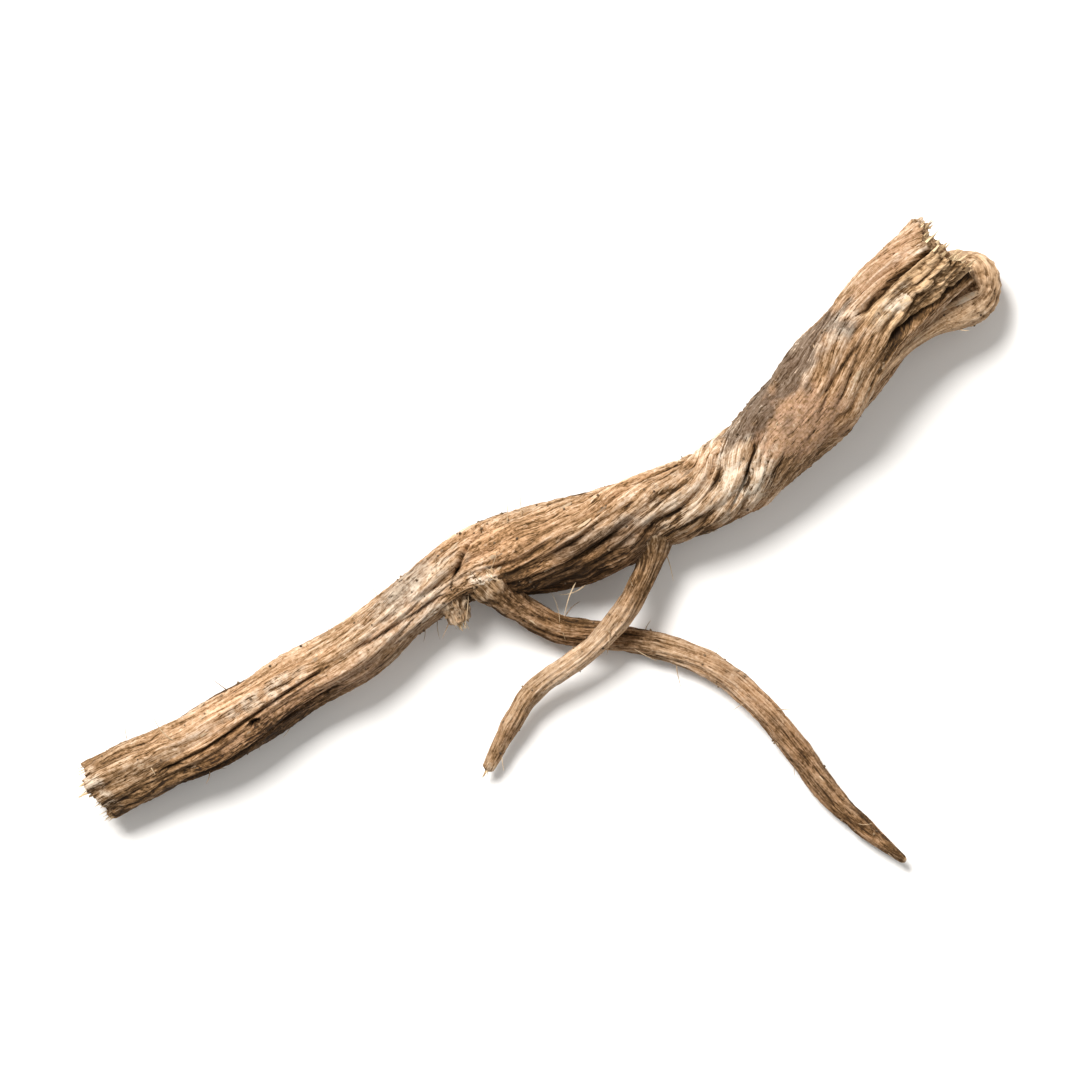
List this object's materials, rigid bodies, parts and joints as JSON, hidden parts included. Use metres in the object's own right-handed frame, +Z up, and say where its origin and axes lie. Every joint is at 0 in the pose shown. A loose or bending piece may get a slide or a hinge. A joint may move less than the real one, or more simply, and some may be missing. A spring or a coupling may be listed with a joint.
{
  "type": "punarnava root",
  "caption": "Dried twisted taproot lying on its side, furrowed lengthwise, with a split hollow top, a snapped tip and slender curved side roots.",
  "frame": {"origin": "on the table under the middle of the root's outline seen from above", "axes": "+X along the taproot towards its split top, +Z up from the table, the long side roots towards -Y"},
  "size_m": [0.1236, 0.0656, 0.0139],
  "materials": {
    "root_bark": "dry rough bark"
  },
  "bodies": {
    "root": {"punarnava_root": "root_bark"}
  },
  "joints": []
}
